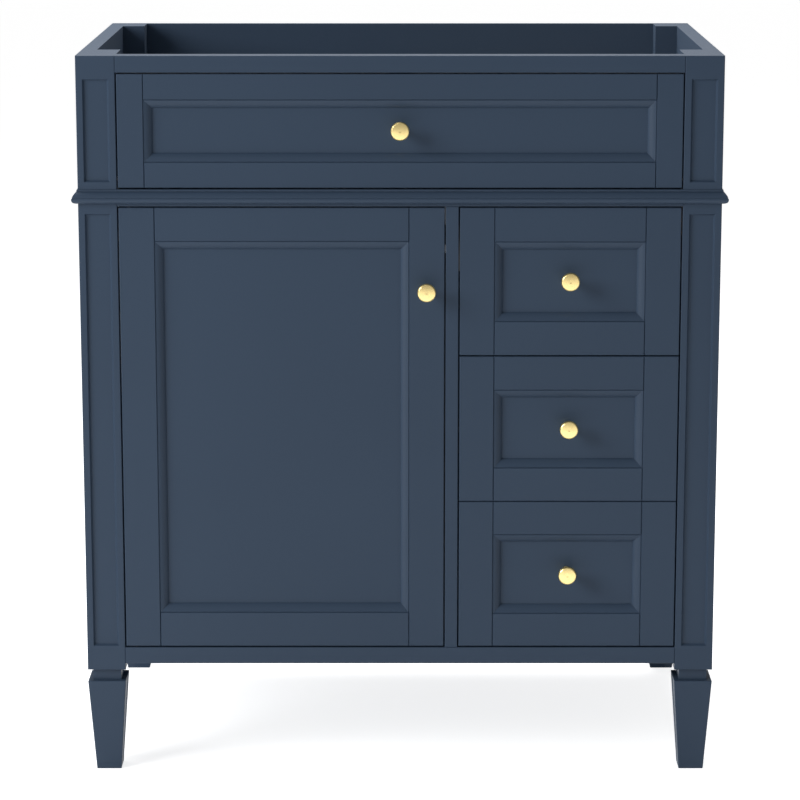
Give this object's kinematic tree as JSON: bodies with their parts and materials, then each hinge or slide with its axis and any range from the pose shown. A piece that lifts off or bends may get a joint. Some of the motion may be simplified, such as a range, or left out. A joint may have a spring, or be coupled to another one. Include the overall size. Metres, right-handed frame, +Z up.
{
  "type": "bathroom vanity cabinet",
  "caption": "Freestanding painted bathroom vanity base without countertop: tip-out tray front, hinged door, stacked drawers, corner posts with bead moulding and tapered legs.",
  "frame": {"origin": "floor level, at the middle of the bounding box in plan (the box runs from the door knob's tip to the back face)", "axes": "+Z up, front faces -Y, +X to the right seen from the front"},
  "size_m": [0.7642, 0.482, 0.864],
  "materials": {
    "navy_paint": "satin navy-blue lacquer on wood",
    "brass": "brushed, polished rim",
    "zinc_steel": "bright zinc plate",
    "black_steel": "black-passivated zinc plate",
    "catch_plastic": "moulded",
    "tray_plastic": "semi-gloss moulded",
    "drawer_ply": "clear-coated birch plywood"
  },
  "bodies": {
    "carcass": {"back_panel": "navy_paint", "bead_moulding": "navy_paint", "bottom_panel": "navy_paint", "bottom_rail": "navy_paint", "divider_panel": "navy_paint", "divider_stile": "navy_paint", "front_post_left": "navy_paint", "front_post_right": "navy_paint", "leg_bolts": "zinc_steel", "leg_front_left": "navy_paint", "leg_front_right": "navy_paint", "leg_rear_left": "navy_paint", "leg_rear_right": "navy_paint", "magnet_catches": "catch_plastic", "middle_rail": "navy_paint", "post_cleats": "navy_paint", "rear_post_left": "navy_paint", "rear_post_right": "navy_paint", "shelf": "navy_paint", "shelf_pins": "zinc_steel", "side_panel_left": "navy_paint", "side_panel_right": "navy_paint", "slide_cabinet_members": "black_steel", "top_rail": "navy_paint"},
    "tipout": {"tipout_knob": "brass", "tipout_panel": "navy_paint", "tipout_pivot_pins": "black_steel", "tipout_rails": "navy_paint", "tipout_stiles": "navy_paint", "tipout_strike": "black_steel", "tipout_tray": "tray_plastic"},
    "door": {"door_bottom_rail": "navy_paint", "door_knob": "brass", "door_panel": "navy_paint", "door_pivot_pins": "black_steel", "door_stile_left": "navy_paint", "door_stile_right": "navy_paint", "door_strike": "black_steel", "door_top_rail": "navy_paint"},
    "drawer_1": {"drawer_1_box_bottom": "drawer_ply", "drawer_1_box_walls": "drawer_ply", "drawer_1_front_frame": "navy_paint", "drawer_1_knob": "brass", "drawer_1_panel": "navy_paint", "drawer_1_slide_inners": "black_steel"},
    "slide_1": {"drawer_1_slide_middles": "black_steel"},
    "drawer_2": {"drawer_2_box_bottom": "drawer_ply", "drawer_2_box_walls": "drawer_ply", "drawer_2_front_frame": "navy_paint", "drawer_2_knob": "brass", "drawer_2_panel": "navy_paint", "drawer_2_slide_inners": "black_steel"},
    "slide_2": {"drawer_2_slide_middles": "black_steel"},
    "drawer_3": {"drawer_3_box_bottom": "drawer_ply", "drawer_3_box_walls": "drawer_ply", "drawer_3_front_frame": "navy_paint", "drawer_3_knob": "brass", "drawer_3_panel": "navy_paint", "drawer_3_slide_inners": "black_steel"},
    "slide_3": {"drawer_3_slide_middles": "black_steel"}
  },
  "joints": [
    {"name": "tipout_tilt", "type": "hinge", "parent": "carcass", "child": "tipout", "pos_m": [0, -0.211, 0.7204], "axis": [1, 0, 0], "range_deg": [0, 45]},
    {"name": "door_swing", "type": "hinge", "parent": "carcass", "child": "door", "pos_m": [-0.316, -0.211, 0.4219], "axis": [0, 0, -1], "range_deg": [0, 105]},
    {"name": "drawer_1_slide", "type": "slide", "parent": "carcass", "child": "drawer_1", "axis": [0, -1, 0], "range_m": [0, 0.36]},
    {"name": "slide_1_travel", "type": "slide", "parent": "carcass", "child": "slide_1", "axis": [0, -1, 0], "range_m": [0, 0.18]},
    {"name": "drawer_2_slide", "type": "slide", "parent": "carcass", "child": "drawer_2", "axis": [0, -1, 0], "range_m": [0, 0.36]},
    {"name": "slide_2_travel", "type": "slide", "parent": "carcass", "child": "slide_2", "axis": [0, -1, 0], "range_m": [0, 0.18]},
    {"name": "drawer_3_slide", "type": "slide", "parent": "carcass", "child": "drawer_3", "axis": [0, -1, 0], "range_m": [0, 0.36]},
    {"name": "slide_3_travel", "type": "slide", "parent": "carcass", "child": "slide_3", "axis": [0, -1, 0], "range_m": [0, 0.18]}
  ],
  "couplings": [
    {"joint": "slide_1_travel", "follows": "drawer_1_slide", "ratio": 0.5},
    {"joint": "slide_2_travel", "follows": "drawer_2_slide", "ratio": 0.5},
    {"joint": "slide_3_travel", "follows": "drawer_3_slide", "ratio": 0.5}
  ]
}
